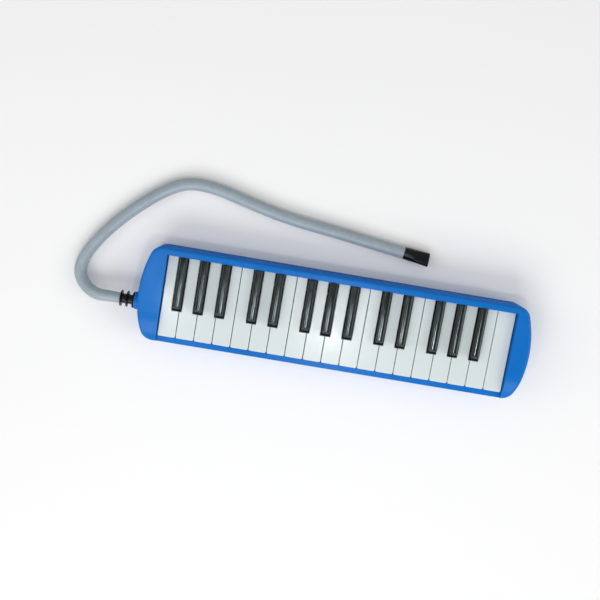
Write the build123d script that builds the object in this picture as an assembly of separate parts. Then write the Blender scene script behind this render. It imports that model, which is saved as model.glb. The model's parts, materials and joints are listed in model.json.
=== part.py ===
from build123d import *
import math
import os

# 32-key melodica, F to C: 19 white and 13 black keys over a reed chamber, in a two-part case.
# X runs along the keyboard (the air inlet is at -X), Y from the key fronts to the back, Z up.
# Everything in the case is drawn about the middle of the keyboard and moved by CASE_SHIFT when it
# is saved, so that the origin is at the bottom, in the middle of the body with its inlet boss.

# ---- case ----
CASE_LEFT_X = -215.8
CASE_RIGHT_X = 211.2          # the right cheek is the narrower one: no air inlet behind it
CASE_HALF_DEPTH = 52.0
CASE_HEIGHT = 44.0
END_RADIUS = 125.0            # the two ends bulge in plan
CORNER_RADIUS = 14.0
WALL = 2.5
PARTING_Z = 20.0              # where the two shells meet
RIM_Z = 31.0                  # front rim, lower than the keys
ROLL_START_Y = -20.0          # from here the cheeks roll down to the front
ROLL_FRONT_Z = 33.0
TOP_EDGE_FILLET = 3.0
BOTTOM_EDGE_FILLET = 2.0
SEAM_CHAMFER = 0.35           # both shells, so that a fine groove shows where they meet
WINDOW_HALF_LENGTH = 190.6
WINDOW_BACK_Y = 44.0
WINDOW_FRONT_Y = -45.6
RIM_WALL = 1.6
BACK_LIP_BOTTOM_Z = 37.6       # the window's back lip comes down to here, clear of the key tops
CHEEK_WALL_BOTTOM_Z = 33.6
LIP_HEIGHT = 1.6
LIP_GAP = 0.15

# ---- keyboard ----
WHITE_COUNT = 19
WHITE_PITCH = 20.0
KEY_GAP = 0.7                 # between neighbouring keys
WHITE_FRONT_Y = -45.0
WHITE_TOP_Z = 36.0
KEY_BOTTOM_Z = 27.0
KEY_BACK_Y = 43.6
SKIRT_BACK_Y = 22.0
KEY_PLATE = 2.8
KEY_SKIRT = 1.6
WHITE_CORNER = 1.8
WHITE_EDGE = 0.6
BLACK_FRONT_Y = -14.9
BLACK_WIDTH = 9.8
BLACK_TOP_WIDTH = 8.0
BLACK_TOP_Z = 45.2
BLACK_CROWN = 0.9             # the top is this much higher in the middle than at its sides
BLACK_SLOPE = 5.0             # the front face leans back this far
BLACK_BASE_Z = 34.0
BLACK_FILLET = 1.8            # round the crown and the two front corners
BLACK_SKIRT_STEP = 0.2        # the skirt is this much inside the cap, all round
BLACK_FRONT_WALL = 6.4
BLACK_HOLLOW_TOP_Z = 40.0
# gaps between white keys, counted from the left, that hold a black key, and the black key's
# sideways offset from the gap by its note
BLACK_NOTES = {1: "fs", 2: "gs", 3: "as", 5: "cs", 6: "ds", 8: "fs", 9: "gs", 10: "as",
               12: "cs", 13: "ds", 15: "fs", 16: "gs", 17: "as"}
BLACK_OFFSETS = {"fs": -3.0, "gs": 0.0, "as": 3.5, "cs": -1.5, "ds": 2.0}

# ---- key action ----
PIVOT_Y = 30.0
PIVOT_Z = 30.0
ROD_RADIUS = 1.0
ROD_CLEARANCE = 0.05
STEM_WIDTH = 5.0
STEM_BOTTOM_Z = 26.5
STEM_TOP_Z = WHITE_TOP_Z - 1.0
STEM_FRONT_Y = 6.0
STEM_FULL_Y = 12.0            # the stem has its full depth from here
STEM_BEND_Y = 34.0
TAIL_START_Y = 39.5
TAIL_BOTTOM_Z = 24.0
TAIL_TOP_Z = 30.0
TAIL_ROOT_Z = 33.4
TAIL_END_Y = 48.8
PAD_FRONT_Y = 42.3
PAD_BACK_Y = 48.7
BEARER_HALF_WIDTH = 1.1
BEARER_HALF_DEPTH = 3.0
BEARER_TOP_Z = 32.0
FELT_THICKNESS = 1.5
WHITE_STOP_Z = 22.0           # top of the felt under the white fronts
WHITE_STOP_Y = (-44.0, -38.0)
BLACK_STOP_Z = 23.9           # top of the felt under the black fronts
BLACK_STOP_Y = (-12.0, -6.0)
STOP_RAIL_THICKNESS = 1.5
STOP_WEB_THICKNESS = 2.0
SPRING_SHEET = 0.4
SPRING_FRONT_Y = 7.0
SPRING_ROOT_Y = 12.5
SPRING_RISE_Y = (13.5, 20.5)  # the fingers rise between these
SPRING_TIP_Y = 23.0
SPRING_FINGER_HALF_WIDTH = 1.6
SPRING_SCREW_Y = 9.6
SPRING_SCREW_RADIUS = 0.85
SPRING_SCREW_BOTTOM_Z = 18.0

# ---- reed chamber ----
CHAMBER_HALF_LENGTH = 193.0
CHAMBER_FRONT_Y = 6.0
CHAMBER_BACK_Y = 49.2
BLOCK_TOP_Z = 22.5
BLOCK_BOTTOM_Z = 12.4
BLOCK_ROOF = 2.0
PLATE_TOP_Z = 12.0
PLATE_BOTTOM_Z = 10.9
PAN_TOP_Z = 10.4
PAN_BOTTOM_Z = WALL
CELL_FRONT_Y = 13.0
CELL_BACK_Y = 48.0
CELL_WALL = 1.2
VALVE_LENGTH = 3.4            # along Y
VALVE_WIDTH = 3.2
VALVE_Y = 45.5
LOW_REED = 29.0               # free length of the lowest reed
HIGH_REED = 12.0
REED_WIDTH = 2.2
REED_THICKNESS = 0.25
REED_GAP = 0.15
REED_TIP_Y = 46.0
REED_FOOT_HALF_WIDTH = 1.6
REED_FOOT_LENGTH = 3.5
RIVET_RADIUS = 0.8
RIVET_THICKNESS = 0.45
CHAMBER_SCREW_Y = 9.6
CHAMBER_SCREW_COUNT = 8
CHAMBER_SCREW_PITCH = 52.0
CHAMBER_SCREW_RADIUS = 1.05
CHAMBER_SCREW_HOLE = 1.3
CHAMBER_SCREW_TOP_Z = 18.0
CHAMBER_HEAD_TOP_Z = 4.3
PAN_FLOOR = 1.5
PAN_WALL = 3.0
PAN_BACK_WALL = 1.2
PLENUM_Y = (-22.0, 30.0)
PLENUM_ROOF_Z = 25.5          # underside of the plenum's roof
DUCT_Y = (14.0, 28.0)         # the openings from the plenum and to the sump
SUMP_END_X = 204.6
SUMP_Y = (12.0, 30.5)
SUMP_WALL = 1.5

# ---- air inlet, connector, hose, mouthpiece ----
INLET_Y = -13.5
INLET_Z = PARTING_Z
BOSS_END_X = -221.5
BOSS_TIP_RADIUS = 9.25
BOSS_ROOT_RADIUS = 10.5
SOCKET_RADIUS = 7.4
SOCKET_BORE = 5.5
SOCKET_SEAL = 0.8
NOSE_RADIUS = 5.65            # the socket's nose, in the plenum wall
NOSE_BORE = 4.4
NOSE_HOLE = 5.75
PLENUM_WALL_X = -207.0
PLUG_RADIUS = 5.45
PLUG_LENGTH = 16.0
RIB_RADIUS = 9.0
RIB_THICKNESS = 2.5
RIB_PITCH = 6.7
RIB_COUNT = 3
CONNECTOR_CORE = 5.3
CONNECTOR_BORE = 3.2
HOSE_RADIUS = 6.75
HOSE_BORE = 4.5
SPIGOT_RADIUS = 4.4
SPIGOT_LENGTH = 8.0
MOUTHPIECE_LENGTH = 29.5
MOUTHPIECE_WIDTH = 15.3
COLLAR_LENGTH = 12.0
COLLAR_SHOULDER = 7.0         # the collar grows from the hose to here
COLLAR_RADII = (6.6, 7.2, 7.1)
BLADE_ROOT = (10.4, 13.9, 4.6)  # thickness, width and corner radius where it leaves the collar
BLADE_TIP = (6.8, MOUTHPIECE_WIDTH, 3.0)
BLADE_SLOT = (3.2, 10.0)
TIP_SLANT = 6.0               # degrees
TIP_SLANT_DEPTH = 0.6

# ---- drain button ----
DRAIN_X = 199.3
DRAIN_Y = 21.0
DRAIN_CAP_RADIUS = 4.5
DRAIN_HOLE_RADIUS = 4.8
DRAIN_FLANGE_RADIUS = 5.8
DRAIN_CAP_TOP_Z = 5.0
DRAIN_CAP_BOTTOM_Z = 0.7
DRAIN_POCKET_RADIUS = 3.7
DRAIN_POCKET_Z = 2.0
DRAIN_STEM_RADIUS = 1.3
DRAIN_STEM_TOP_Z = 12.0
DRAIN_HEAD_RADIUS = 2.2
DRAIN_SEAL_RADIUS = 3.6
DRAIN_SEAL_THICKNESS = 1.5
DRAIN_HEAD_TOP_Z = 11.6
SUMP_HOLE_RADIUS = 2.4
SUMP_FLOOR_Z = 8.5
SUMP_TOP_Z = 19.0

# ---- hand strap and screws ----
RECESS_HALF_LENGTH = 64.0
RECESS_END = 82.0
RECESS_FRONT_Y = -38.0
RECESS_BACK_Y = 2.0
RECESS_DEPTH = 10.0
STRAP_WIDTH = 26.0
STRAP_BOTTOM_Z = 2.4
STRAP_THICKNESS = 1.6
STRAP_PLATE = 0.8
STRAP_SCREW_X = 73.0
STRAP_SCREW_OFFSET = 8.0
STRAP_SCREW_RADIUS = 0.85
STRAP_SCREW_TOP_Z = 6.5
STRAP_PLATE_HALF = (4.5, 12.0)
CASE_SCREW_X = (-203.0, 198.4)
CASE_SCREW_Y = 36.0
CASE_SCREW_RADIUS = 1.3
CASE_SCREW_TOP_Z = 30.0
RIM_SCREW_X = 95.0
RIM_SCREW_Y = -47.4
RIM_SCREW_RADIUS = 1.1
RIM_SCREW_TOP_Z = 25.0
RIM_LAND_HALF = 4.0
RIM_POST_RADIUS = 2.9
SCREW_HEAD_Z = (1.4, 3.2)
SCREW_HEAD_RADIUS = 2.4
SCREW_WELL_RADIUS = 2.6
POST_RADIUS = 3.5

CASE_SHIFT = -(BOSS_END_X + CASE_RIGHT_X) / 2
RECESS_Y = (RECESS_FRONT_Y + RECESS_BACK_Y) / 2
EPS = 1.0                     # cutters run past the face they cut by this much
FAR = 300.0                   # beyond the object in any direction

# The hose lies on the table: its path is straight runs between these points, rounded at each.
# It leaves the boss, comes down to the table while it turns back, and goes round behind the case.
HOSE_START_X = BOSS_END_X + CASE_SHIFT - RIB_THICKNESS - (RIB_COUNT - 1) * RIB_PITCH
HOSE_LIE_Z = 7.0
HOSE_ROUTE = [
    (HOSE_START_X, INLET_Y, INLET_Z),
    (-245.7, INLET_Y, INLET_Z),
    (-257.7, -14.5, 18.2),
    (-269.7, -10.5, 13.5),
    (-279.2, -2.0, 9.5),
    (-283.2, 9.0, 7.4),
    (-280.7, 22.0, HOSE_LIE_Z),
    (-273.2, 37.0, HOSE_LIE_Z),
    (-258.2, 58.0, HOSE_LIE_Z),
    (-236.2, 81.5, HOSE_LIE_Z),
    (-208.2, 106.0, HOSE_LIE_Z),
    (-180.7, 122.0, HOSE_LIE_Z),
    (-148.7, 121.5, HOSE_LIE_Z),
    (-107.7, 111.0, HOSE_LIE_Z),
    (-64.2, 101.5, HOSE_LIE_Z),
    (-11.7, 96.0, HOSE_LIE_Z),
    (29.8, 90.5, HOSE_LIE_Z),
    (66.3, 86.0, HOSE_LIE_Z),
]

ALONG_X = Rotation(0, 90, 0)


def block(x_span, y_span, z_span):
    """A box between two values on each axis."""
    spans = (x_span, y_span, z_span)
    size = [high - low for low, high in spans]
    centre = [(low + high) / 2 for low, high in spans]
    return Pos(*centre) * Box(*size)


def upright(x, y, z_span, radius):
    """A vertical cylinder."""
    low, high = z_span
    return Pos(x, y, (low + high) / 2) * Cylinder(radius, high - low)


def lengthwise(x_span, y, z, radius):
    """A cylinder along X."""
    low, high = x_span
    return Pos((low + high) / 2, y, z) * ALONG_X * Cylinder(radius, high - low)


def head_slots(x, y, z_span, half_length, half_width, cross=True):
    """Cutters for a screw's slot, or its cross."""
    along_x = block((x - half_length, x + half_length), (y - half_width, y + half_width), z_span)
    along_y = block((x - half_width, x + half_width), (y - half_length, y + half_length), z_span)
    return [along_x, along_y] if cross else [along_x]


def prism_along_x(points, x_span):
    """A closed outline in Y and Z, carried along X."""
    low, high = x_span
    outline = Plane.YZ.offset(low) * make_face(Polyline(points, close=True))
    return extrude(outline, high - low)


def save(name, *pieces, shift=CASE_SHIFT):
    """Write one node: its pieces stay separate solids."""
    solids = [Pos(shift, 0, 0) * solid for piece in pieces for solid in piece.solids()]
    shape = solids[0] if len(solids) == 1 else Compound(solids)
    shape.label = name
    export_step(shape, os.path.join("parts", name + ".step"))


# ---------------------------------------------------------------- case shells

def case_outline(inset=0.0):
    """The case from above: straight front and back, bulging ends, rounded corners."""
    left, right = CASE_LEFT_X + inset, CASE_RIGHT_X - inset
    half_depth = CASE_HALF_DEPTH - inset
    radius = END_RADIUS - inset
    bulge = radius - math.sqrt(radius ** 2 - half_depth ** 2)
    low, high = left + bulge, right - bulge
    edges = [
        Line((low, -half_depth), (high, -half_depth)),
        ThreePointArc((high, -half_depth), (right, 0), (high, half_depth)),
        Line((high, half_depth), (low, half_depth)),
        ThreePointArc((low, half_depth), (left, 0), (low, -half_depth)),
    ]
    face = make_face(edges)
    return fillet(face.vertices(), CORNER_RADIUS - inset)


def roll_profile(drop=0.0):
    """Side view of the top shell: flat, then rolling down to the front."""
    top = CASE_HEIGHT - drop
    front_top = ROLL_FRONT_Z - drop
    reach = CASE_HALF_DEPTH + EPS
    run = ROLL_START_Y + reach
    fall = top - front_top
    radius = (run ** 2 + fall ** 2) / (2 * fall)
    middle = (ROLL_START_Y - run / 2, top - radius + math.sqrt(radius ** 2 - (run / 2) ** 2))
    edges = [
        Line((reach, -EPS), (reach, top)),
        Line((reach, top), (ROLL_START_Y, top)),
        ThreePointArc((ROLL_START_Y, top), middle, (-reach, front_top)),
        Line((-reach, front_top), (-reach, -EPS)),
        Line((-reach, -EPS), (reach, -EPS)),
    ]
    low, high = CASE_LEFT_X - EPS, CASE_RIGHT_X + EPS
    return extrude(Plane.YZ.offset(low) * make_face(edges), high - low)


def case_blank(inset=0.0, z_low=PARTING_Z):
    height = CASE_HEIGHT - inset - z_low
    body = extrude(Pos(0, 0, z_low) * case_outline(inset), height + EPS)
    return body & roll_profile(inset)


def boss():
    """The round boss that the air inlet comes through, cut later to each shell's half."""
    length = CASE_LEFT_X + WALL - BOSS_END_X
    cone = Cone(BOSS_TIP_RADIUS, BOSS_ROOT_RADIUS, length)
    return Pos(BOSS_END_X + length / 2, INLET_Y, INLET_Z) * ALONG_X * cone


def socket_hole():
    return lengthwise((BOSS_END_X - EPS, CASE_LEFT_X + 5 * WALL), INLET_Y, INLET_Z,
                      SOCKET_RADIUS + ROD_CLEARANCE)


def lip_ring(inner, outer, height):
    """A ring that follows the outline, for the lip and its groove at the parting line."""
    ring = case_outline(outer) - case_outline(inner)
    return extrude(Pos(0, 0, PARTING_Z) * ring, height)


def corner_screws():
    return [(x, y) for x in CASE_SCREW_X for y in (-CASE_SCREW_Y, CASE_SCREW_Y)]


def rim_screws():
    return [(x, RIM_SCREW_Y) for x in (-RIM_SCREW_X, 0.0, RIM_SCREW_X)]


def top_case():
    shell = case_blank()
    top_edges = [e for e in shell.edges() if e.center().Z > RIM_Z]
    shell = fillet(top_edges, TOP_EDGE_FILLET)
    shell = chamfer(shell.edges().group_by(Axis.Z)[0], SEAM_CHAMFER)
    shell -= case_blank(WALL)
    # rim and cheek walls that edge the keyboard window
    inner = (-WINDOW_HALF_LENGTH - WALL, WINDOW_HALF_LENGTH + WALL)
    rim_back = (WINDOW_FRONT_Y - RIM_WALL, WINDOW_FRONT_Y)
    front_wall = block(inner, rim_back, (PARTING_Z, RIM_Z))
    rim_roof = block(inner, (-CASE_HALF_DEPTH + EPS, WINDOW_FRONT_Y), (RIM_Z - WALL, RIM_Z))
    under_top = CASE_HEIGHT - EPS
    back_lip = block(inner, (WINDOW_BACK_Y, WINDOW_BACK_Y + WALL), (BACK_LIP_BOTTOM_Z, under_top))
    cheek_walls = block(inner, (WINDOW_FRONT_Y, WINDOW_BACK_Y), (CHEEK_WALL_BOTTOM_Z, under_top))
    cheek_walls &= roll_profile(EPS)
    front_cheeks = block(inner, (-CASE_HALF_DEPTH + EPS, WINDOW_FRONT_Y), (RIM_Z - WALL, CASE_HEIGHT))
    front_cheeks &= roll_profile(EPS)
    shell += [front_wall, rim_roof, back_lip, cheek_walls, front_cheeks]
    window_x = (-WINDOW_HALF_LENGTH, WINDOW_HALF_LENGTH)
    shell -= block(window_x, (WINDOW_FRONT_Y, WINDOW_BACK_Y), (PARTING_Z - EPS, CASE_HEIGHT + EPS))
    shell -= block(window_x, (-CASE_HALF_DEPTH - EPS, 0), (RIM_Z, CASE_HEIGHT + EPS))
    # screw posts at the corners, and solid lands behind the rim
    for x, y in corner_screws():
        shell += upright(x, y, (PARTING_Z, CASE_HEIGHT - WALL), POST_RADIUS) & roll_profile(EPS)
        shell -= upright(x, y, (PARTING_Z, CASE_SCREW_TOP_Z + 4), CASE_SCREW_RADIUS + ROD_CLEARANCE)
    for x, y in rim_screws():
        shell += block((x - RIM_LAND_HALF, x + RIM_LAND_HALF),
                       (-CASE_HALF_DEPTH + WALL, WINDOW_FRONT_Y), (PARTING_Z, RIM_Z - EPS))
        shell -= upright(x, y, (PARTING_Z, RIM_SCREW_TOP_Z + 2), RIM_SCREW_RADIUS + ROD_CLEARANCE)
    shell += boss() & block((-FAR, 0), (-FAR, FAR), (PARTING_Z, FAR))
    shell -= socket_hole()
    shell -= lip_ring(WALL, WALL / 2 - LIP_GAP, LIP_HEIGHT + LIP_GAP)
    return shell


def bottom_case():
    blank = extrude(case_outline(), PARTING_Z)
    bottom_edges = [e for e in blank.edges() if e.center().Z < 0.1]
    shell = fillet(bottom_edges, BOTTOM_EDGE_FILLET)
    shell = chamfer(shell.edges().group_by(Axis.Z)[-1], SEAM_CHAMFER)
    shell -= extrude(Pos(0, 0, WALL) * case_outline(WALL), PARTING_Z)
    shell += lip_ring(WALL, WALL / 2, LIP_HEIGHT)
    # the hand strap's recess, pressed up into the floor, and the shallow pockets at its ends
    roof = RECESS_DEPTH + 2
    shell += block((-RECESS_HALF_LENGTH - 2, RECESS_HALF_LENGTH + 2),
                   (RECESS_FRONT_Y - 2, RECESS_BACK_Y + 2), (0, roof))
    shell += block((-RECESS_END - 2, RECESS_END + 2),
                   (RECESS_FRONT_Y - 2, RECESS_BACK_Y + 2), (0, roof - 4))
    # T rails that carry the stop felts, either side of the recess
    long_x = (-WINDOW_HALF_LENGTH + EPS, WINDOW_HALF_LENGTH - EPS)
    for y_span, stop_z, web_y in ((WHITE_STOP_Y, WHITE_STOP_Z, -43.0), (BLACK_STOP_Y, BLACK_STOP_Z, -10.0)):
        rail_top = stop_z - FELT_THICKNESS
        shell += block(long_x, (web_y, web_y + STOP_WEB_THICKNESS), (WALL, rail_top))
        shell += block(long_x, y_span, (rail_top - STOP_RAIL_THICKNESS, rail_top))
    shell -= block((-RECESS_HALF_LENGTH, RECESS_HALF_LENGTH),
                   (RECESS_FRONT_Y, RECESS_BACK_Y), (-EPS, RECESS_DEPTH))
    strap_y = (RECESS_Y - STRAP_WIDTH / 2 - 0.5, RECESS_Y + STRAP_WIDTH / 2 + 0.5)
    shell -= block((-RECESS_END, RECESS_END), strap_y, (-EPS, STRAP_BOTTOM_Z + STRAP_THICKNESS))
    for x, y in strap_screw_places():
        shell -= upright(x, y, (0, STRAP_SCREW_TOP_Z + 0.5), STRAP_SCREW_RADIUS + ROD_CLEARANCE)
    for x, y in corner_screws():
        shell += upright(x, y, (0, PARTING_Z), POST_RADIUS)
    behind_front_wall = block((-FAR, FAR), (-CASE_HALF_DEPTH + WALL / 2, 0), (0, PARTING_Z))
    for x, y in rim_screws():
        shell += upright(x, y, (0.5, PARTING_Z - 0.5), RIM_POST_RADIUS) & behind_front_wall
    for x, y in corner_screws() + rim_screws():
        shell -= upright(x, y, (-EPS, SCREW_HEAD_Z[1]), SCREW_WELL_RADIUS)
        shell -= upright(x, y, (0, PARTING_Z + LIP_HEIGHT + EPS), CASE_SCREW_RADIUS + 2 * ROD_CLEARANCE)
    shell += boss() & block((-FAR, 0), (-FAR, FAR), (0, PARTING_Z))
    shell -= socket_hole()
    shell -= upright(DRAIN_X, DRAIN_Y, (-EPS, WALL + EPS), DRAIN_HOLE_RADIUS)
    return shell


def strap_screw_places():
    return [(x, RECESS_Y + offset) for x in (-STRAP_SCREW_X, STRAP_SCREW_X)
            for offset in (-STRAP_SCREW_OFFSET, STRAP_SCREW_OFFSET)]


# ---------------------------------------------------------------- keys

def gap_x(gap):
    """Middle of the gap after this many white keys."""
    return (gap - WHITE_COUNT / 2) * WHITE_PITCH


def black_x(gap):
    return gap_x(gap) + BLACK_OFFSETS[BLACK_NOTES[gap]]


def white_span(index):
    """Left and right sides of a white key at its front."""
    return gap_x(index) + KEY_GAP / 2, gap_x(index + 1) - KEY_GAP / 2


def white_tail_span(index):
    """Left and right sides of a white key beside the black keys."""
    left, right = white_span(index)
    reach = BLACK_WIDTH / 2 + KEY_GAP
    if index in BLACK_NOTES:
        left = black_x(index) + reach
    if index + 1 in BLACK_NOTES:
        right = black_x(index + 1) - reach
    return left, right


def stem_places():
    """Middle of each key's stem, by node name, from left to right."""
    places = {}
    for index in range(WHITE_COUNT):
        left, right = white_tail_span(index)
        places[f"white_key_{index + 1:02d}"] = (left + right) / 2
    for number, gap in enumerate(BLACK_NOTES, start=1):
        places[f"black_key_{number:02d}"] = black_x(gap)
    return dict(sorted(places.items(), key=lambda item: item[1]))


def key_stem(x):
    """The lever under a key: it carries the pivot bore, and the pad over its valve."""
    points = [(STEM_FRONT_Y, STEM_TOP_Z), (STEM_FULL_Y, STEM_BOTTOM_Z), (STEM_BEND_Y, STEM_BOTTOM_Z),
              (TAIL_START_Y, TAIL_BOTTOM_Z), (TAIL_END_Y, TAIL_BOTTOM_Z), (TAIL_END_Y, TAIL_TOP_Z),
              (KEY_BACK_Y, TAIL_ROOT_Z), (KEY_BACK_Y, STEM_TOP_Z)]
    return prism_along_x(points, (x - STEM_WIDTH / 2, x + STEM_WIDTH / 2))


def pivot_bore(x):
    reach = STEM_WIDTH / 2 + EPS
    return lengthwise((x - reach, x + reach), PIVOT_Y, PIVOT_Z, ROD_RADIUS + ROD_CLEARANCE)


def valve_pad(x):
    return block((x - STEM_WIDTH / 2, x + STEM_WIDTH / 2), (PAD_FRONT_Y, PAD_BACK_Y),
                 (BLOCK_TOP_Z, TAIL_BOTTOM_Z))


def white_outline(index):
    """The key from above, with a step in its side at each black key."""
    left, right = white_span(index)
    tail_left, tail_right = white_tail_span(index)
    notch_y = BLACK_FRONT_Y - KEY_GAP
    points = [(left, WHITE_FRONT_Y), (right, WHITE_FRONT_Y)]
    if tail_right < right:
        points += [(right, notch_y), (tail_right, notch_y)]
    points += [(tail_right, KEY_BACK_Y), (tail_left, KEY_BACK_Y)]
    if tail_left > left:
        points += [(tail_left, notch_y), (left, notch_y)]
    return make_face(Polyline(points, close=True))


def open_tail(x_span):
    """Cutter that leaves only the key's top plate behind its skirt."""
    low, high = x_span
    return block((low - EPS, high + EPS), (SKIRT_BACK_Y, KEY_BACK_Y + EPS),
                 (KEY_BOTTOM_Z - EPS, WHITE_TOP_Z - KEY_PLATE))


def white_key(index):
    tail_left, tail_right = white_tail_span(index)
    outline = white_outline(index)
    body = extrude(Pos(0, 0, KEY_BOTTOM_Z) * outline, WHITE_TOP_Z - KEY_BOTTOM_Z)
    body = fillet(body.edges().filter_by(Axis.Z).group_by(Axis.Y)[0], WHITE_CORNER)
    body = fillet(body.faces().sort_by(Axis.Z)[-1].edges(), WHITE_EDGE)
    hollow = offset(outline, -KEY_SKIRT)
    body -= extrude(Pos(0, 0, KEY_BOTTOM_Z - EPS) * hollow,
                    WHITE_TOP_Z - KEY_PLATE - KEY_BOTTOM_Z + EPS)
    body -= open_tail(white_span(index))
    x = (tail_left + tail_right) / 2
    body += key_stem(x)
    body -= pivot_bore(x)
    return body, valve_pad(x)


def black_cap(x):
    """The raised part of a black key: leaning sides, a crowned top and a sloping front."""
    half = BLACK_WIDTH / 2
    top_half = BLACK_TOP_WIDTH / 2
    shoulder_z = BLACK_TOP_Z - BLACK_CROWN
    section = [
        Line((x - half, BLACK_BASE_Z), (x + half, BLACK_BASE_Z)),
        Line((x + half, BLACK_BASE_Z), (x + top_half, shoulder_z)),
        ThreePointArc((x + top_half, shoulder_z), (x, BLACK_TOP_Z), (x - top_half, shoulder_z)),
        Line((x - top_half, shoulder_z), (x - half, BLACK_BASE_Z)),
    ]
    back = Plane.XZ.offset(-KEY_BACK_Y)
    cap = extrude(back * make_face(section), KEY_BACK_Y - BLACK_FRONT_Y)
    rise = BLACK_TOP_Z - BLACK_BASE_Z
    cap -= prism_along_x([
        (BLACK_FRONT_Y, BLACK_BASE_Z), (BLACK_FRONT_Y + 2 * BLACK_SLOPE, BLACK_BASE_Z + 2 * rise),
        (BLACK_FRONT_Y - EPS, BLACK_BASE_Z + 2 * rise), (BLACK_FRONT_Y - EPS, BLACK_BASE_Z),
    ], (x - BLACK_WIDTH, x + BLACK_WIDTH))
    crown = [e for e in cap.faces().sort_by(Axis.Z)[-1].edges() if e.center().Y < KEY_BACK_Y - EPS]
    lean = [e for e in cap.faces().sort_by(Axis.Y)[0].edges()
            if top_half < abs(e.center().X - x) < half]
    return fillet(crown + lean, BLACK_FILLET)


def black_key(gap):
    x = black_x(gap)
    half = BLACK_WIDTH / 2
    skirt_half = half - BLACK_SKIRT_STEP
    skirt = block((x - skirt_half, x + skirt_half), (BLACK_FRONT_Y + BLACK_SKIRT_STEP, KEY_BACK_Y),
                  (KEY_BOTTOM_Z, BLACK_BASE_Z))
    skirt = fillet(skirt.edges().filter_by(Axis.Z).group_by(Axis.Y)[0], BLACK_FILLET)
    body = black_cap(x) + skirt
    body -= block((x - half + KEY_SKIRT, x + half - KEY_SKIRT),
                  (BLACK_FRONT_Y + BLACK_FRONT_WALL, SKIRT_BACK_Y),
                  (KEY_BOTTOM_Z - EPS, BLACK_HOLLOW_TOP_Z))
    body -= open_tail((x - half, x + half))
    body += key_stem(x)
    body -= pivot_bore(x)
    return body, valve_pad(x)


# ---------------------------------------------------------------- reed chamber

def cell_spans():
    """Left and right walls of each key's reed cell."""
    stems = list(stem_places().values())
    middles = [(a + b) / 2 for a, b in zip(stems, stems[1:])]
    reach = CHAMBER_HALF_LENGTH - 2
    bounds = [max(-reach, stems[0] - 6)] + middles + [min(reach, stems[-1] + 6)]
    return [(a + CELL_WALL / 2, b - CELL_WALL / 2) for a, b in zip(bounds, bounds[1:])]


def chamber_screw_places():
    first = -(CHAMBER_SCREW_COUNT - 1) / 2 * CHAMBER_SCREW_PITCH
    return [(first + i * CHAMBER_SCREW_PITCH, CHAMBER_SCREW_Y) for i in range(CHAMBER_SCREW_COUNT)]


def chamber_slab(z_span, front=CHAMBER_FRONT_Y, back=CHAMBER_BACK_Y):
    return block((-CHAMBER_HALF_LENGTH, CHAMBER_HALF_LENGTH), (front, back), z_span)


def reed_block():
    body = chamber_slab((BLOCK_BOTTOM_Z, BLOCK_TOP_Z))
    cell_z = (BLOCK_BOTTOM_Z - EPS, BLOCK_TOP_Z - BLOCK_ROOF)
    cells = [block(span, (CELL_FRONT_Y, CELL_BACK_Y), cell_z) for span in cell_spans()]
    valves = [block((x - VALVE_WIDTH / 2, x + VALVE_WIDTH / 2),
                    (VALVE_Y - VALVE_LENGTH / 2, VALVE_Y + VALVE_LENGTH / 2),
                    (BLOCK_TOP_Z - BLOCK_ROOF - EPS, BLOCK_TOP_Z + EPS))
              for x in stem_places().values()]
    body -= cells + valves
    # bearers for the pivot rod, in the gaps that hold no black key and at both ends
    gaps = [g for g in range(1, WHITE_COUNT) if g not in BLACK_NOTES]
    ends = CHAMBER_HALF_LENGTH - BEARER_HALF_WIDTH
    for x in [-ends] + [gap_x(g) for g in gaps] + [ends]:
        body += block((x - BEARER_HALF_WIDTH, x + BEARER_HALF_WIDTH),
                      (PIVOT_Y - BEARER_HALF_DEPTH, PIVOT_Y + BEARER_HALF_DEPTH),
                      (BLOCK_TOP_Z, BEARER_TOP_Z))
    body -= lengthwise((-CHAMBER_HALF_LENGTH - EPS, CHAMBER_HALF_LENGTH + EPS),
                       PIVOT_Y, PIVOT_Z, ROD_RADIUS + ROD_CLEARANCE)
    for x, y in chamber_screw_places():
        body -= upright(x, y, (BLOCK_BOTTOM_Z - EPS, CHAMBER_SCREW_TOP_Z + 2),
                        CHAMBER_SCREW_RADIUS + ROD_CLEARANCE)
    for x in spring_screw_xs():
        body -= upright(x, SPRING_SCREW_Y, (SPRING_SCREW_BOTTOM_Z - 0.5, BLOCK_TOP_Z + EPS),
                        SPRING_SCREW_RADIUS + ROD_CLEARANCE)
    return body


def chamber_screw_holes(low, high):
    """Cutters for the screws that pass through a layer between two heights."""
    return [upright(x, y, (low - EPS, high + EPS), CHAMBER_SCREW_HOLE) for x, y in chamber_screw_places()]


def plate_gasket():
    sheet = chamber_slab((PLATE_TOP_Z, BLOCK_BOTTOM_Z))
    windows = [block(span, (CELL_FRONT_Y, CELL_BACK_Y), (PLATE_TOP_Z - EPS, BLOCK_BOTTOM_Z + EPS))
               for span in cell_spans()]
    return sheet - (windows + chamber_screw_holes(PLATE_TOP_Z, BLOCK_BOTTOM_Z))


def reed_lengths():
    """Free length of each reed: it falls evenly in pitch from the lowest note to the highest."""
    ratio = HIGH_REED / LOW_REED
    last = len(stem_places()) - 1
    return [LOW_REED * ratio ** (i / last) for i in range(last + 1)]


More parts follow.
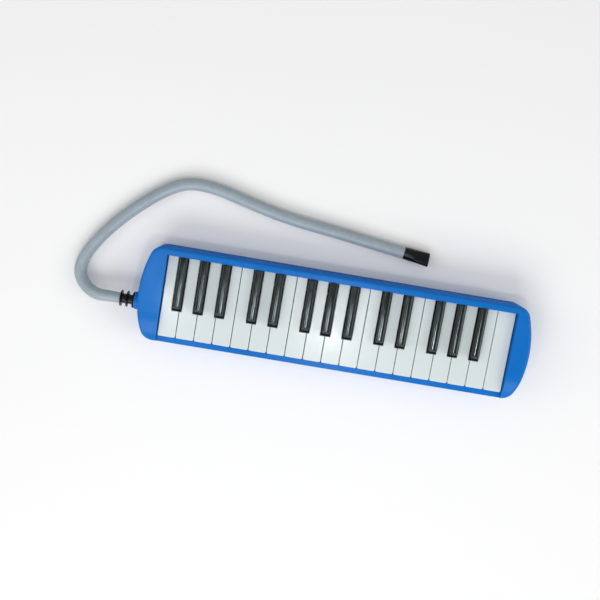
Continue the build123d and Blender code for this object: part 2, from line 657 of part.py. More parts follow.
def reed_set(first, last):
    """A brass plate with a slot for each of its reeds, and the reeds fixed under it."""
    middles = [(low + high) / 2 for low, high in cell_spans()]
    lengths = reed_lengths()
    spans = cell_spans()
    left = -CHAMBER_HALF_LENGTH + 0.5 if first == 0 else spans[first][0] - CELL_WALL / 2 + 0.2
    right = (CHAMBER_HALF_LENGTH - 0.5 if last == len(spans) - 1
             else spans[last][1] + CELL_WALL / 2 - 0.2)
    plate = block((left, right), (CHAMBER_FRONT_Y + 0.5, CHAMBER_BACK_Y - 0.5),
                  (PLATE_BOTTOM_Z, PLATE_TOP_Z))
    cutters = []
    reeds = []
    for x, length in list(zip(middles, lengths))[first:last + 1]:
        root_y = REED_TIP_Y - length
        half = REED_WIDTH / 2
        cutters.append(block((x - half - REED_GAP, x + half + REED_GAP), (root_y, REED_TIP_Y + REED_GAP),
                             (PLATE_BOTTOM_Z - EPS, PLATE_TOP_Z + EPS)))
        sheet_z = (PLATE_BOTTOM_Z - REED_THICKNESS, PLATE_BOTTOM_Z)
        tongue = block((x - half, x + half), (root_y - EPS, REED_TIP_Y), sheet_z)
        foot = block((x - REED_FOOT_HALF_WIDTH, x + REED_FOOT_HALF_WIDTH),
                     (root_y - REED_FOOT_LENGTH, root_y), sheet_z)
        rivet = upright(x, root_y - REED_FOOT_LENGTH / 2,
                        (PLATE_BOTTOM_Z - RIVET_THICKNESS, PLATE_BOTTOM_Z), RIVET_RADIUS)
        reeds.append(tongue + foot + rivet)
    return plate - (cutters + chamber_screw_holes(PLATE_BOTTOM_Z, PLATE_TOP_Z)), reeds


def pan_hollow(z_span):
    """The inside of the pan's wall, between two heights."""
    return block((-CHAMBER_HALF_LENGTH + PAN_WALL, CHAMBER_HALF_LENGTH - PAN_WALL),
                 (CELL_FRONT_Y - 0.5, CHAMBER_BACK_Y - PAN_BACK_WALL), z_span)


def cover_gasket():
    sheet = chamber_slab((PAN_TOP_Z, PLATE_BOTTOM_Z))
    inner = pan_hollow((PAN_TOP_Z - EPS, PLATE_BOTTOM_Z + EPS))
    return sheet - ([inner] + chamber_screw_holes(PAN_TOP_Z, PLATE_BOTTOM_Z))


def inset(span, amount):
    low, high = span
    return low + amount, high - amount


def wind_chamber():
    """The pan under the reeds, with the inlet plenum at its left end and the sump at its right."""
    end = CHAMBER_HALF_LENGTH
    floor = PAN_BOTTOM_Z + PAN_FLOOR
    body = chamber_slab((PAN_BOTTOM_Z, PAN_TOP_Z))
    body += block((PLENUM_WALL_X, -end), PLENUM_Y, (PAN_BOTTOM_Z, PLENUM_ROOF_Z + PAN_FLOOR))
    body += block((end, SUMP_END_X), SUMP_Y, (SUMP_FLOOR_Z - SUMP_WALL, SUMP_TOP_Z))
    body -= pan_hollow((floor, PAN_TOP_Z + EPS))
    body -= block((PLENUM_WALL_X + 2, -end - SUMP_WALL), inset(PLENUM_Y, SUMP_WALL), (floor, PLENUM_ROOF_Z))
    body -= block((end + SUMP_WALL, SUMP_END_X - SUMP_WALL), inset(SUMP_Y, SUMP_WALL),
                  (SUMP_FLOOR_Z, SUMP_TOP_Z - SUMP_WALL))
    # the ducts from the plenum to the pan, and from the pan to the sump
    body -= block((-end - 4, -end + 4), DUCT_Y, (floor, PAN_TOP_Z - 1.4))
    body -= block((end - 4, end + 4), DUCT_Y, (SUMP_FLOOR_Z, PAN_TOP_Z - 0.8))
    body -= lengthwise((PLENUM_WALL_X - EPS, PLENUM_WALL_X + 4), INLET_Y, INLET_Z, NOSE_HOLE)
    body -= upright(DRAIN_X, DRAIN_Y, (SUMP_FLOOR_Z - 3, SUMP_FLOOR_Z + EPS), SUMP_HOLE_RADIUS)
    for x, y in chamber_screw_places():
        body -= upright(x, y, (PAN_BOTTOM_Z - EPS, CHAMBER_HEAD_TOP_Z), 2.3)
    return body - chamber_screw_holes(PAN_BOTTOM_Z, PAN_TOP_Z)


def chamber_screws():
    screws = []
    for x, y in chamber_screw_places():
        head = upright(x, y, (PAN_BOTTOM_Z + 0.2, CHAMBER_HEAD_TOP_Z), 2.1)
        shank = upright(x, y, (CHAMBER_HEAD_TOP_Z, CHAMBER_SCREW_TOP_Z), CHAMBER_SCREW_RADIUS)
        screws.append(head + shank - head_slots(x, y, (PAN_BOTTOM_Z, 3.3), 2.5, 0.25))
    return screws


# ---------------------------------------------------------------- key action

def spring_screw_xs():
    """Spring screws sit midway between the chamber screws."""
    xs = [x for x, _ in chamber_screw_places()]
    return [(a + b) / 2 for a, b in zip(xs, xs[1:])]


def key_springs():
    """One sheet with a finger under each key's stem, which pushes the key's front up."""
    strip = block((-CHAMBER_HALF_LENGTH + 2, CHAMBER_HALF_LENGTH - 2), (SPRING_FRONT_Y, SPRING_ROOT_Y),
                  (BLOCK_TOP_Z, BLOCK_TOP_Z + SPRING_SHEET))
    strip -= [upright(x, SPRING_SCREW_Y, (BLOCK_TOP_Z - EPS, BLOCK_TOP_Z + EPS), 1.0)
              for x in spring_screw_xs()]
    low = BLOCK_TOP_Z
    high = STEM_BOTTOM_Z - SPRING_SHEET - 0.05
    foot_y, top_y = SPRING_RISE_Y
    under = [(SPRING_ROOT_Y - 0.5, low), (foot_y, low), (top_y, high), (SPRING_TIP_Y, high)]
    over = [(y, z + SPRING_SHEET) for y, z in reversed(under)]
    half = SPRING_FINGER_HALF_WIDTH
    fingers = [prism_along_x(under + over, (x - half, x + half)) for x in stem_places().values()]
    return strip + fingers


def spring_screws():
    top = BLOCK_TOP_Z + SPRING_SHEET
    y = SPRING_SCREW_Y
    screws = []
    for x in spring_screw_xs():
        head = upright(x, y, (top, top + 1.2), 1.8)
        shank = upright(x, y, (SPRING_SCREW_BOTTOM_Z, top), SPRING_SCREW_RADIUS)
        screws.append(head + shank - head_slots(x, y, (top + 0.6, top + 2), 2.0, 0.25, cross=False))
    return screws


def pivot_rod():
    reach = CHAMBER_HALF_LENGTH - 0.2
    return lengthwise((-reach, reach), PIVOT_Y, PIVOT_Z, ROD_RADIUS)


def stop_felt(y_span, top):
    reach = WINDOW_HALF_LENGTH - 1.5
    return block((-reach, reach), y_span, (top - FELT_THICKNESS, top))


# ---------------------------------------------------------------- drain button

def drain_piece(z_span, radius):
    return upright(DRAIN_X, DRAIN_Y, z_span, radius)


def drain_button():
    cap = drain_piece((DRAIN_CAP_BOTTOM_Z, DRAIN_CAP_TOP_Z), DRAIN_CAP_RADIUS)
    cap = fillet(cap.edges().group_by(Axis.Z)[0], 0.6)
    flange = drain_piece((WALL + 0.2, WALL + 1.2), DRAIN_FLANGE_RADIUS)
    pocket = drain_piece((DRAIN_POCKET_Z, DRAIN_CAP_TOP_Z + EPS), DRAIN_POCKET_RADIUS)
    stem = drain_piece((DRAIN_POCKET_Z, DRAIN_STEM_TOP_Z), DRAIN_STEM_RADIUS)
    head = drain_piece((SUMP_FLOOR_Z + DRAIN_SEAL_THICKNESS, DRAIN_HEAD_TOP_Z), DRAIN_HEAD_RADIUS)
    return cap + flange - pocket + stem + head


def drain_seal():
    ring = drain_piece((SUMP_FLOOR_Z, SUMP_FLOOR_Z + DRAIN_SEAL_THICKNESS), DRAIN_SEAL_RADIUS)
    return ring - drain_piece((SUMP_FLOOR_Z - EPS, SUMP_TOP_Z), DRAIN_STEM_RADIUS)


def drain_spring():
    """A small coil between the button's pocket and the floor of the sump."""
    wire = 0.3
    low = DRAIN_POCKET_Z + wire
    height = SUMP_FLOOR_Z - SUMP_WALL - DRAIN_POCKET_Z - 2 * wire
    coil_radius = 2.7
    path = Helix(pitch=1.05, height=height, radius=coil_radius)
    section = Plane(origin=path @ 0, z_dir=path % 0) * Circle(wire)
    return Pos(DRAIN_X, DRAIN_Y, low) * sweep(section, path=path, is_frenet=True)


# ---------------------------------------------------------------- inlet, connector, mouthpiece

def inlet_socket():
    nose_end = PLENUM_WALL_X + 3.5
    tube = lengthwise((BOSS_END_X, PLENUM_WALL_X - SOCKET_SEAL), INLET_Y, INLET_Z, SOCKET_RADIUS)
    nose = lengthwise((PLENUM_WALL_X - EPS, nose_end), INLET_Y, INLET_Z, NOSE_RADIUS)
    bore = lengthwise((BOSS_END_X - EPS, nose_end - EPS), INLET_Y, INLET_Z, SOCKET_BORE)
    through = lengthwise((PLENUM_WALL_X, nose_end + EPS), INLET_Y, INLET_Z, NOSE_BORE)
    return tube + nose - [bore, through]


def socket_seal():
    ring = lengthwise((PLENUM_WALL_X - SOCKET_SEAL, PLENUM_WALL_X), INLET_Y, INLET_Z, SOCKET_RADIUS)
    return ring - lengthwise((PLENUM_WALL_X - 2, PLENUM_WALL_X + 2), INLET_Y, INLET_Z, NOSE_HOLE)


def rib_section(x):
    """Half section of one rib: wider at the core, rounded at the crest."""
    half = RIB_THICKNESS / 2
    root = CONNECTOR_CORE - 0.5
    left = [(x - half, root), (x - half, CONNECTOR_CORE), (x - half * 0.6, RIB_RADIUS - 0.4),
            (x - half * 0.3, RIB_RADIUS)]
    right = [(2 * x - along, out) for along, out in reversed(left)]
    return left + right


def hose_connector():
    """Ribbed plug: its nose fits the socket, its spigot fits the hose."""
    body = lengthwise((hose_face_x(), BOSS_END_X), INLET_Y, INLET_Z, CONNECTOR_CORE)
    for i in range(RIB_COUNT):
        x = BOSS_END_X - RIB_THICKNESS / 2 - i * RIB_PITCH
        outline = Plane.XZ * make_face(Polyline(rib_section(x), close=True))
        body += Pos(0, INLET_Y, INLET_Z) * revolve(outline, Axis.X)
    body += lengthwise((BOSS_END_X, BOSS_END_X + PLUG_LENGTH), INLET_Y, INLET_Z, PLUG_RADIUS)
    body += lengthwise((hose_face_x() - SPIGOT_LENGTH, hose_face_x()), INLET_Y, INLET_Z, SPIGOT_RADIUS)
    return body - lengthwise((-FAR, 0), INLET_Y, INLET_Z, CONNECTOR_BORE)


def hose_face_x():
    return HOSE_START_X - CASE_SHIFT


def corner_radii(points):
    """Each arc is as large as its two runs allow."""
    radii = []
    for before, here, after in zip(points, points[1:], points[2:]):
        run_in = Vector(*here) - Vector(*before)
        run_out = Vector(*after) - Vector(*here)
        turn = math.radians(run_in.get_angle(run_out))
        radii.append(0.45 * min(run_in.length, run_out.length) / math.tan(turn / 2))
    return radii


def hose():
    radii = corner_radii(HOSE_ROUTE)
    print("hose arc radii, mm:", [round(r, 1) for r in radii])
    path = FilletPolyline(*HOSE_ROUTE, radius=radii)
    start = Plane(origin=path @ 0, z_dir=path % 0)
    ring = Circle(HOSE_RADIUS) - Circle(HOSE_BORE)
    tube = sweep(start * ring, path=path)
    section_area = math.pi * (HOSE_RADIUS ** 2 - HOSE_BORE ** 2)
    print("hose length, mm:", round(path.length, 1),
          "volume ratio:", round(tube.volume / (section_area * path.length), 4))
    return tube


def mouthpiece():
    """A round collar on the hose, which flattens into a wide tip with a slot to blow through."""
    end = Vector(*HOSE_ROUTE[-1])
    heading = (end - Vector(*HOSE_ROUTE[-2])).normalized()
    place = Plane(origin=end, x_dir=Vector(0, 0, 1), z_dir=heading)
    at_hose, at_shoulder, at_end = (Circle(radius) for radius in COLLAR_RADII)
    shoulder = Pos(0, 0, COLLAR_SHOULDER) * at_shoulder
    collar = loft([at_hose, shoulder])
    collar += loft([shoulder, Pos(0, 0, COLLAR_LENGTH) * at_end])
    blade = loft([Pos(0, 0, COLLAR_LENGTH - 1.5) * RectangleRounded(*BLADE_ROOT),
                  Pos(0, 0, MOUTHPIECE_LENGTH) * RectangleRounded(*BLADE_TIP)])
    spigot = Pos(0, 0, -SPIGOT_LENGTH / 2) * Cylinder(SPIGOT_RADIUS, SPIGOT_LENGTH)
    bore = Cylinder(CONNECTOR_BORE, 2 * (COLLAR_LENGTH + 2))
    slot = Pos(0, 0, MOUTHPIECE_LENGTH) * Box(*BLADE_SLOT, 2 * (MOUTHPIECE_LENGTH - COLLAR_LENGTH))
    cutter = Box(40, 40, 20)
    slant = Pos(0, 0, MOUTHPIECE_LENGTH - TIP_SLANT_DEPTH + 10) * Rotation(TIP_SLANT, 0, 0) * cutter
    return place * (collar + blade + spigot - bore - slot - slant)


# ---------------------------------------------------------------- strap and screws

def strap_holes():
    return [upright(x, y, (0, RECESS_DEPTH), STRAP_SCREW_RADIUS + 0.15) for x, y in strap_screw_places()]


def hand_strap():
    reach = RECESS_END - 2.5
    band = block((-reach, reach), (RECESS_Y - STRAP_WIDTH / 2, RECESS_Y + STRAP_WIDTH / 2),
                 (STRAP_BOTTOM_Z, STRAP_BOTTOM_Z + STRAP_THICKNESS))
    return band - strap_holes()


def strap_plates():
    half_x, half_y = STRAP_PLATE_HALF
    plates = []
    for x in (-STRAP_SCREW_X, STRAP_SCREW_X):
        plate = block((x - half_x, x + half_x), (RECESS_Y - half_y, RECESS_Y + half_y),
                      (STRAP_BOTTOM_Z - STRAP_PLATE, STRAP_BOTTOM_Z))
        plates.append(fillet(plate.edges().filter_by(Axis.Z), 2.0) - strap_holes())
    return plates


def strap_screws():
    head_top = STRAP_BOTTOM_Z - STRAP_PLATE
    screws = []
    for x, y in strap_screw_places():
        head = upright(x, y, (0.5, head_top), 1.9)
        shank = upright(x, y, (head_top, STRAP_SCREW_TOP_Z), STRAP_SCREW_RADIUS)
        screws.append(head + shank - head_slots(x, y, (0, 1.0), 2.0, 0.25, cross=False))
    return screws


def case_screw(x, y, top, radius):
    low, high = SCREW_HEAD_Z
    screw = upright(x, y, (low, high), SCREW_HEAD_RADIUS) + upright(x, y, (high, top), radius)
    return screw - head_slots(x, y, (low - EPS, low + 0.8), 2.0, 0.3)


def case_screws():
    corner = [case_screw(x, y, CASE_SCREW_TOP_Z, CASE_SCREW_RADIUS) for x, y in corner_screws()]
    rim = [case_screw(x, y, RIM_SCREW_TOP_Z, RIM_SCREW_RADIUS) for x, y in rim_screws()]
    return corner + rim


# ---------------------------------------------------------------- write every node

os.makedirs("parts", exist_ok=True)

save("top_case", top_case())
save("bottom_case", bottom_case())
for index in range(WHITE_COUNT):
    save(f"white_key_{index + 1:02d}", *white_key(index))
for number, gap in enumerate(BLACK_NOTES, start=1):
    save(f"black_key_{number:02d}", *black_key(gap))

save("reed_block", reed_block())
save("plate_gasket", plate_gasket())
half = len(stem_places()) // 2
low_plate, low_reeds = reed_set(0, half - 1)
high_plate, high_reeds = reed_set(half, 2 * half - 1)
save("reed_plate_low", low_plate)
save("reed_plate_high", high_plate)
save("reeds_low", *low_reeds)
save("reeds_high", *high_reeds)
save("cover_gasket", cover_gasket())
save("wind_chamber", wind_chamber())
save("chamber_screws", *chamber_screws())

save("pivot_rod", pivot_rod())
save("key_springs", key_springs())
save("spring_screws", *spring_screws())
save("white_key_felt", stop_felt(WHITE_STOP_Y, WHITE_STOP_Z))
save("black_key_felt", stop_felt(BLACK_STOP_Y, BLACK_STOP_Z))

save("inlet_socket", inlet_socket())
save("socket_seal", socket_seal())
save("drain_button", drain_button())
save("drain_seal", drain_seal())
save("drain_spring", drain_spring())

save("hose_connector", hose_connector())
save("hose", hose(), shift=0.0)
save("mouthpiece", mouthpiece(), shift=0.0)

save("hand_strap", hand_strap())
save("strap_plates", *strap_plates())
save("strap_screws", *strap_screws())
save("case_screws", *case_screws())
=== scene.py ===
import json
import math

import bmesh
import bpy
from mathutils import Matrix, Vector


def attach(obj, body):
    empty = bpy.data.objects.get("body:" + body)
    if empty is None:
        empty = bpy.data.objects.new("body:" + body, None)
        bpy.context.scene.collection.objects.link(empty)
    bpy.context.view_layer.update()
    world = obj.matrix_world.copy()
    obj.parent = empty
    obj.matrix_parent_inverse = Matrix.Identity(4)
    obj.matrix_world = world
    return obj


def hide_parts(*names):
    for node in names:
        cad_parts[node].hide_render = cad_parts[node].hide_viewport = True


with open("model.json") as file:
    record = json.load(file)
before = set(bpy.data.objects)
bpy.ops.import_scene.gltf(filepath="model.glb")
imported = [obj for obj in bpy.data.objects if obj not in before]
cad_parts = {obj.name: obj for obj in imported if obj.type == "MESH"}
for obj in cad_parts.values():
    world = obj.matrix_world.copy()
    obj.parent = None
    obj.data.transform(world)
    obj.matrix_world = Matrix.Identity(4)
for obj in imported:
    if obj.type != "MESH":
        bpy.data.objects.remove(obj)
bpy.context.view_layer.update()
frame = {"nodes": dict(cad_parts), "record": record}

# Melodica on a pale table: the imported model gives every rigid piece, and this script adds the
# camera, the light, the hose, the stitches of the hand strap and all the materials.
# Blender works in metres; values written in millimetres are multiplied by MM.

MM = 0.001
NODES = frame["nodes"]


# ---------------------------------------------------------------- camera

CAMERA_PLACE = Vector((-0.0591, 0.1485, 1.0109))
CAMERA_AIM = Vector((-0.0380, 0.0181, 0.030))
CAMERA_ROLL = math.radians(-9.71)
CAMERA_LENS = 54.72           # millimetres
SENSOR_WIDTH = 36.0


def add_camera():
    """Nearly overhead, and rolled so that the keyboard falls to the right."""
    data = bpy.data.cameras.new("camera")
    data.lens = CAMERA_LENS
    data.sensor_width = SENSOR_WIDTH
    camera = bpy.data.objects.new("camera", data)
    bpy.context.scene.collection.objects.link(camera)
    heading = (CAMERA_AIM - CAMERA_PLACE).normalized()
    right = heading.cross(Vector((0, 1, 0))).normalized()
    up = right.cross(heading)
    level = Matrix((right, up, -heading)).transposed()
    turned = Matrix.Rotation(CAMERA_ROLL, 3, heading) @ level
    camera.matrix_world = Matrix.Translation(CAMERA_PLACE) @ turned.to_4x4()
    bpy.context.scene.camera = camera


# ---------------------------------------------------------------- hose

HOSE_DIAMETER = 13.5 * MM
HOSE_LIE_Z = 7.0
# millimetres: from the connector down to the table, round behind the case, to the mouthpiece
HOSE_ROUTE = [
    (-232.25, -13.5, 20.0),
    (-245.7, -13.5, 20.0),
    (-257.7, -14.5, 18.2),
    (-269.7, -10.5, 13.5),
    (-279.2, -2.0, 9.5),
    (-283.2, 9.0, 7.4),
    (-280.7, 22.0, HOSE_LIE_Z),
    (-273.2, 37.0, HOSE_LIE_Z),
    (-258.2, 58.0, HOSE_LIE_Z),
    (-236.2, 81.5, HOSE_LIE_Z),
    (-208.2, 106.0, HOSE_LIE_Z),
    (-180.7, 122.0, HOSE_LIE_Z),
    (-148.7, 121.5, HOSE_LIE_Z),
    (-107.7, 111.0, HOSE_LIE_Z),
    (-64.2, 101.5, HOSE_LIE_Z),
    (-11.7, 96.0, HOSE_LIE_Z),
    (29.8, 90.5, HOSE_LIE_Z),
    (66.3, 86.0, HOSE_LIE_Z),
]
HOSE_NECK = {0: 0.88, 1: 0.94}  # share of the full radius at the first points of the route


def add_hose():
    """The hose, on one smooth curve through its route, a little narrower where it leaves the plug."""
    curve = bpy.data.curves.new("hose_tube", "CURVE")
    curve.dimensions = "3D"
    curve.bevel_depth = 1.0   # so that a point's radius is the tube's radius in metres
    curve.bevel_resolution = 8
    curve.resolution_u = 10
    curve.use_fill_caps = True
    spline = curve.splines.new("NURBS")
    spline.points.add(len(HOSE_ROUTE) - 1)
    for index, (point, place) in enumerate(zip(spline.points, HOSE_ROUTE)):
        point.co = (*(value * MM for value in place), 1.0)
        point.radius = HOSE_DIAMETER / 2 * HOSE_NECK.get(index, 1.0)
    spline.order_u = 3
    spline.use_endpoint_u = True
    hose = bpy.data.objects.new("hose_tube", curve)
    bpy.context.scene.collection.objects.link(hose)
    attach(hose, "blow_hose")
    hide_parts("hose")
    return hose


# ---------------------------------------------------------------- hand strap stitches

STITCH_PITCH = 4.2 * MM
STITCH_SIZE = (1.5 * MM, 0.32 * MM, 0.22 * MM)
STITCH_LEAN = math.radians(6)
STITCH_ROWS_Y = (-28.5 * MM, -7.5 * MM)
STITCH_REACH_X = 64.0 * MM
CASE_SHIFT_X = 5.15 * MM
STRAP_UNDER_Z = 2.4 * MM


def add_stitches():
    """Two rows of thread along the hand strap under the case, each stitch a sunk grain of thread."""
    shape = bmesh.new()
    count = int(STITCH_REACH_X / STITCH_PITCH)
    lean = Matrix.Rotation(STITCH_LEAN, 4, "Z")
    size = Matrix.Diagonal((*STITCH_SIZE, 1.0))
    for y in STITCH_ROWS_Y:
        for index in range(-count, count + 1):
            place = Vector((CASE_SHIFT_X + index * STITCH_PITCH, y, STRAP_UNDER_Z))
            bmesh.ops.create_uvsphere(shape, u_segments=10, v_segments=6, radius=1.0,
                                      matrix=Matrix.Translation(place) @ lean @ size)
    mesh = bpy.data.meshes.new("strap_stitches")
    shape.to_mesh(mesh)
    shape.free()
    mesh.shade_smooth()
    stitches = bpy.data.objects.new("strap_stitches", mesh)
    bpy.context.scene.collection.objects.link(stitches)
    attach(stitches, "case")
    return stitches


# ---------------------------------------------------------------- materials

class Look:
    """One procedural material: a Principled shader and the nodes that vary it over the surface."""

    def __init__(self, name, stretch=(1, 1, 1)):
        self.material = bpy.data.materials.new(name)
        self.material.use_nodes = True
        self.tree = self.material.node_tree
        self.tree.nodes.clear()
        self.shader = self.add("ShaderNodeBsdfPrincipled")
        output = self.add("ShaderNodeOutputMaterial")
        self.link(self.shader.outputs[0], output.inputs["Surface"])
        coordinates = self.add("ShaderNodeTexCoord")
        self.place = coordinates.outputs["Object"]
        mapping = self.add("ShaderNodeMapping")
        mapping.inputs["Scale"].default_value = stretch
        self.link(self.place, mapping.inputs["Vector"])
        self.stretched = mapping.outputs[0]
        self.normal = coordinates.outputs["Normal"]
        self.bump = None

    def add(self, kind, **settings):
        node = self.tree.nodes.new(kind)
        for key, value in settings.items():
            setattr(node, key, value)
        return node

    def link(self, source, target):
        self.tree.links.new(source, target)

    def set(self, **values):
        """Constants on the shader's own sockets."""
        for key, value in values.items():
            self.shader.inputs[key.replace("_", " ")].default_value = value
        return self

    def noise(self, scale, detail=3.0, rough=0.55, stretched=False, distortion=0.0):
        node = self.add("ShaderNodeTexNoise")
        node.inputs["Scale"].default_value = scale
        node.inputs["Detail"].default_value = detail
        node.inputs["Roughness"].default_value = rough
        node.inputs["Distortion"].default_value = distortion
        self.link(self.stretched if stretched else self.place, node.inputs["Vector"])
        return node.outputs["Fac"]

    def ramp(self, value, low, high, out_low=0.0, out_high=1.0):
        node = self.add("ShaderNodeMapRange")
        node.inputs["From Min"].default_value = low
        node.inputs["From Max"].default_value = high
        node.inputs["To Min"].default_value = out_low
        node.inputs["To Max"].default_value = out_high
        self.link(value, node.inputs["Value"])
        return node.outputs["Result"]

    def math(self, operation, a, b):
        node = self.add("ShaderNodeMath", operation=operation)
        for socket, value in zip(node.inputs, (a, b)):
            if isinstance(value, (int, float)):
                socket.default_value = value
            else:
                self.link(value, socket)
        return node.outputs[0]

    def mix(self, factor, a, b):
        """A colour between a and b, each a colour or a socket."""
        node = self.add("ShaderNodeMix", data_type="RGBA")
        self.link(factor, node.inputs["Factor"])
        for socket, value in zip((node.inputs[6], node.inputs[7]), (a, b)):
            if isinstance(value, tuple):
                socket.default_value = (*value, 1.0)
            else:
                self.link(value, socket)
        return node.outputs[2]

    def matte_sides(self, top_level, side_level, side_rough):
        """Steep faces carry a fine matte grain, and reflect less than the polished top."""
        split = self.add("ShaderNodeSeparateXYZ")
        self.link(self.normal, split.inputs[0])
        steep = self.ramp(self.math("ABSOLUTE", split.outputs["Z"], 0.0), 0.35, 0.7, 1.0, 0.0)
        level = self.ramp(steep, 0.0, 1.0, top_level, side_level)
        self.link(level, self.shader.inputs["Specular IOR Level"])
        rough = self.shader.inputs["Roughness"].links[0].from_socket
        self.roughness(self.math("ADD", rough, self.math("MULTIPLY", steep, side_rough)))
        grain = self.math("MULTIPLY", self.noise(1800, 2), steep)
        return self.relief(grain, 0.05 * MM, 0.6)

    def colour(self, socket):
        self.link(socket, self.shader.inputs["Base Color"])
        return self

    def roughness(self, socket):
        self.link(socket, self.shader.inputs["Roughness"])
        return self

    def relief(self, height, depth, strength=1.0):
        """Another layer of bump; depth is in metres."""
        node = self.add("ShaderNodeBump")
        node.inputs["Strength"].default_value = strength
        node.inputs["Distance"].default_value = depth
        self.link(height, node.inputs["Height"])
        if self.bump is not None:
            self.link(self.bump, node.inputs["Normal"])
        self.bump = node.outputs["Normal"]
        self.link(self.bump, self.shader.inputs["Normal"])
        return self


def shade(colour, factor):
    return tuple(min(1.0, channel * factor) for channel in colour)


def moulded(name, colour, rough, spread=0.06, variation=0.08, peel=1.0, stretch=(1, 1, 1),
            scratches=0.0):
    """Moulded plastic: cloudy tone, orange-peel surface, rubbed patches and hairline scratches."""
    look = Look(name, stretch)
    cloud = look.ramp(look.noise(14, 4), 0.3, 0.7)
    tone = look.mix(cloud, shade(colour, 1 - variation), shade(colour, 1 + variation))
    speck = look.ramp(look.noise(900, 2), 0.62, 0.74)
    tone = look.mix(speck, tone, shade(colour, 1 + 2 * variation))
    look.colour(tone)
    rubbed = look.ramp(look.noise(26, 5, 0.6), 0.35, 0.75, rough - spread, rough + spread)
    if scratches:
        hair = look.ramp(look.noise(60, 6, 0.7, stretched=True), 0.58, 0.66, 0.0, scratches)
        rubbed = look.math("ADD", rubbed, hair)
        look.relief(hair, 0.01 * MM / max(scratches, 0.01), 0.3)
    look.roughness(rubbed)
    look.relief(look.noise(420, 2), 0.02 * MM * peel, 0.5)
    look.relief(look.noise(45, 3), 0.10 * MM * peel, 0.35)
    return look


def metal(name, colour, rough, stretch=(1, 1, 1)):
    """Plated or drawn metal with fine lines along one axis, and dull patches."""
    look = Look(name, stretch)
    lines = look.noise(300, 4, 0.6, stretched=True)
    tarnish = look.ramp(look.noise(40, 5), 0.4, 0.75)
    look.colour(look.mix(tarnish, colour, shade(colour, 0.78)))
    look.roughness(look.ramp(lines, 0.3, 0.7, rough - 0.06, rough + 0.12))
    look.relief(lines, 0.01 * MM, 0.4)
    look.set(Metallic=1.0)
    return look


def soft_grey(name, colour):
    """The hose: soft, slightly translucent vinyl with a hazy, cloudy tone and a low, uneven relief."""
    look = Look(name, (3.0, 3.0, 3.0))
    cloud = look.ramp(look.noise(22, 5, 0.6), 0.3, 0.72)
    tone = look.mix(cloud, shade(colour, 0.95), shade(colour, 1.05))
    haze = look.ramp(look.noise(160, 3), 0.45, 0.75)
    tone = look.mix(haze, tone, shade(colour, 1.12))
    look.colour(tone)
    look.roughness(look.ramp(look.noise(35, 4), 0.3, 0.7, 0.30, 0.46))
    look.relief(look.noise(260, 3), 0.05 * MM, 0.5)
    look.relief(look.noise(30, 3), 0.25 * MM, 0.3)
    look.set(Subsurface_Weight=0.25, Subsurface_Scale=0.004, Coat_Weight=0.15, Coat_Roughness=0.25)
    return look


def felt(name, colour):
    """Felt or twisted thread: short fibres, rough all over."""
    look = Look(name)
    fibres = look.noise(1500, 6, 0.8)
    look.colour(look.mix(look.ramp(fibres, 0.3, 0.7), shade(colour, 0.6), shade(colour, 1.4)))
    look.roughness(look.ramp(fibres, 0.3, 0.7, 0.85, 1.0))
    look.relief(fibres, 0.3 * MM, 0.9)
    look.set(Sheen_Weight=0.5)
    return look


def grained(name, colour, rough, scale, depth):
    """Embossed vinyl, rubber or gasket paper: a cell pattern with small colour changes."""
    look = Look(name)
    cells = look.add("ShaderNodeTexVoronoi", feature="SMOOTH_F1")
    cells.inputs["Scale"].default_value = scale
    look.link(look.place, cells.inputs["Vector"])
    grain = cells.outputs["Distance"]
    look.colour(look.mix(look.ramp(look.noise(40, 4), 0.3, 0.7), shade(colour, 0.8),
                         shade(colour, 1.25)))
    look.roughness(look.ramp(grain, 0.0, 0.7, rough - 0.1, rough + 0.1))
    look.relief(grain, depth, 0.8)
    return look


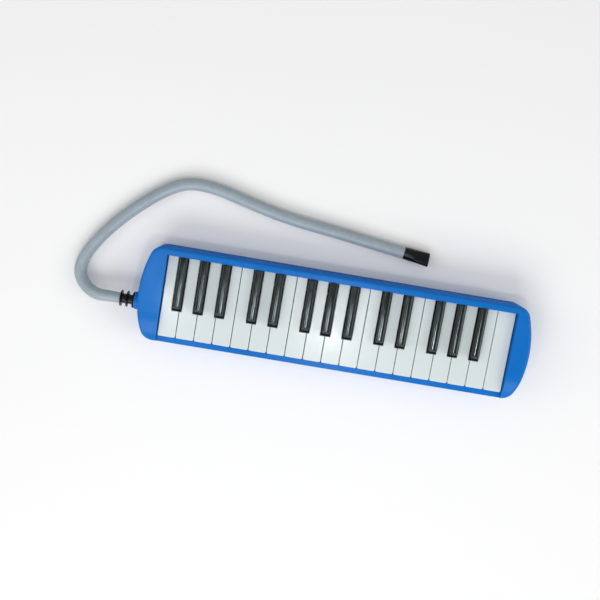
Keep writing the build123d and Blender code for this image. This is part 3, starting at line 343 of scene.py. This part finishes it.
def make_looks():
    """One look for each material slot of the record."""
    along_y = (30.0, 1.0, 30.0)
    blue = (0.004, 0.150, 0.520)
    return {
        "case_blue": moulded("case_blue", blue, 0.27, 0.06, 0.06, 1.0, (1.0, 12.0, 4.0), 0.12)
        .matte_sides(0.18, 0.05, 0.35),
        "key_white": moulded("key_white", (0.66, 0.73, 0.74), 0.22, 0.05, 0.02, 0.8, along_y, 0.08)
        .set(Specular_IOR_Level=0.4),
        "key_black": moulded("key_black", (0.005, 0.007, 0.0075), 0.15, 0.06, 0.25, 1.6, along_y, 0.14)
        .matte_sides(0.5, 0.10, 0.15).set(Specular_Tint=(0.84, 1.0, 1.0, 1.0)),
        "socket_plastic": moulded("socket_plastic", blue, 0.30),
        "chamber_plastic": moulded("chamber_plastic", (0.05, 0.055, 0.06), 0.5),
        "reed_brass": metal("reed_brass", (0.78, 0.57, 0.26), 0.28, (1.0, 40.0, 1.0)),
        "gasket_paper": grained("gasket_paper", (0.45, 0.38, 0.27), 0.85, 900, 0.05 * MM),
        "screw_steel": metal("screw_steel", (0.62, 0.62, 0.61), 0.30),
        "plate_steel": metal("plate_steel", (0.66, 0.66, 0.65), 0.25, (1.0, 30.0, 1.0)),
        "rod_steel": metal("rod_steel", (0.60, 0.60, 0.61), 0.22, (1.0, 30.0, 30.0)),
        "spring_steel": metal("spring_steel", (0.50, 0.51, 0.54), 0.30, (30.0, 1.0, 1.0)),
        "felt": felt("felt", (0.30, 0.02, 0.02)),
        "seal_rubber": grained("seal_rubber", (0.03, 0.03, 0.03), 0.7, 1200, 0.03 * MM),
        "button_black": moulded("button_black", (0.012, 0.012, 0.012), 0.3),
        "fitting_black": moulded("fitting_black", (0.004, 0.004, 0.0045), 0.26, 0.05, 0.3, 1.2)
        .set(Specular_IOR_Level=0.3),
        "hose_grey": soft_grey("hose_grey", (0.310, 0.372, 0.418)),
        "thread": felt("thread", (0.10, 0.10, 0.11)),
        "strap_vinyl": grained("strap_vinyl", (0.018, 0.018, 0.019), 0.5, 1100, 0.12 * MM),
    }


def paint(looks, pieces):
    """Give each CAD node the look of its slot, and each added piece its own."""
    for part in frame["record"]["subparts"]:
        mesh = NODES[part["node"]].data
        mesh.materials.clear()
        mesh.materials.append(looks[part["material_slot"]].material)
    for piece, name in pieces:
        piece.data.materials.clear()
        piece.data.materials.append(looks[name].material)


# ---------------------------------------------------------------- studio

FLOOR_SIZE = 60.0
FLOOR_TONES = ((0.90, 0.90, 0.90), (0.93, 0.93, 0.93))
ZENITH_LIGHT = 0.27
HORIZON_LIGHT = 0.36
CENTRE = (-0.04, 0.02, 0.0)
# name, place, aim, size and power in watts: four wide lamps for the even light, and two small ones
# for the short highlights on the black keys
LIGHTS = [
    ("front_light", (-0.3, -2.0, 2.0), CENTRE, (2.8, 1.6), 46),
    ("left_light", (-2.2, 0.0, 1.7), CENTRE, (1.6, 1.6), 14),
    ("right_light", (2.2, 0.0, 1.7), CENTRE, (1.6, 1.6), 23),
    ("back_light", (0.2, 2.2, 2.6), CENTRE, (2.4, 1.4), 5),
    ("left_spark", (-0.31, -0.15, 1.0), (-0.17, 0.0, 0.0), (0.03, 0.05), 0.4),
    ("right_spark", (0.06, -0.15, 1.0), (0.02, 0.0, 0.0), (0.06, 0.05), 0.8),
]


def add_light(name, place, aim, size, power):
    data = bpy.data.lights.new(name, "AREA")
    data.shape = "RECTANGLE"
    data.size, data.size_y = size
    data.energy = power
    light = bpy.data.objects.new(name, data)
    bpy.context.scene.collection.objects.link(light)
    light.location = place
    light.rotation_euler = (Vector(aim) - Vector(place)).to_track_quat("-Z", "Y").to_euler()


def add_world():
    """An even sky, a little brighter towards the horizon."""
    world = bpy.data.worlds.new("studio")
    world.use_nodes = True
    tree = world.node_tree
    coordinates = tree.nodes.new("ShaderNodeTexCoord")
    split = tree.nodes.new("ShaderNodeSeparateXYZ")
    tree.links.new(coordinates.outputs["Generated"], split.inputs[0])
    level = tree.nodes.new("ShaderNodeMapRange")
    level.inputs["To Min"].default_value = HORIZON_LIGHT
    level.inputs["To Max"].default_value = ZENITH_LIGHT
    tree.links.new(split.outputs["Z"], level.inputs["Value"])
    background = tree.nodes["Background"]
    background.inputs["Color"].default_value = (1, 1, 1, 1)
    tree.links.new(level.outputs["Result"], background.inputs["Strength"])
    bpy.context.scene.world = world


def add_studio():
    """A plain pale floor, the sky and the lamps."""
    bpy.ops.mesh.primitive_plane_add(size=FLOOR_SIZE, location=(0, 0, 0))
    floor = bpy.context.object
    floor.name = "floor"
    look = Look("floor")
    look.colour(look.mix(look.noise(2, 3), *FLOOR_TONES))
    look.roughness(look.ramp(look.noise(6, 3), 0.3, 0.7, 0.75, 0.9))
    floor.data.materials.append(look.material)
    add_world()
    bpy.context.scene.view_settings.view_transform = "Standard"
    for light in LIGHTS:
        add_light(*light)


# ---------------------------------------------------------------- build

add_camera()
hose = add_hose()
stitches = add_stitches()
looks = make_looks()
paint(looks, [(hose, "hose_grey"), (stitches, "thread")])
add_studio()
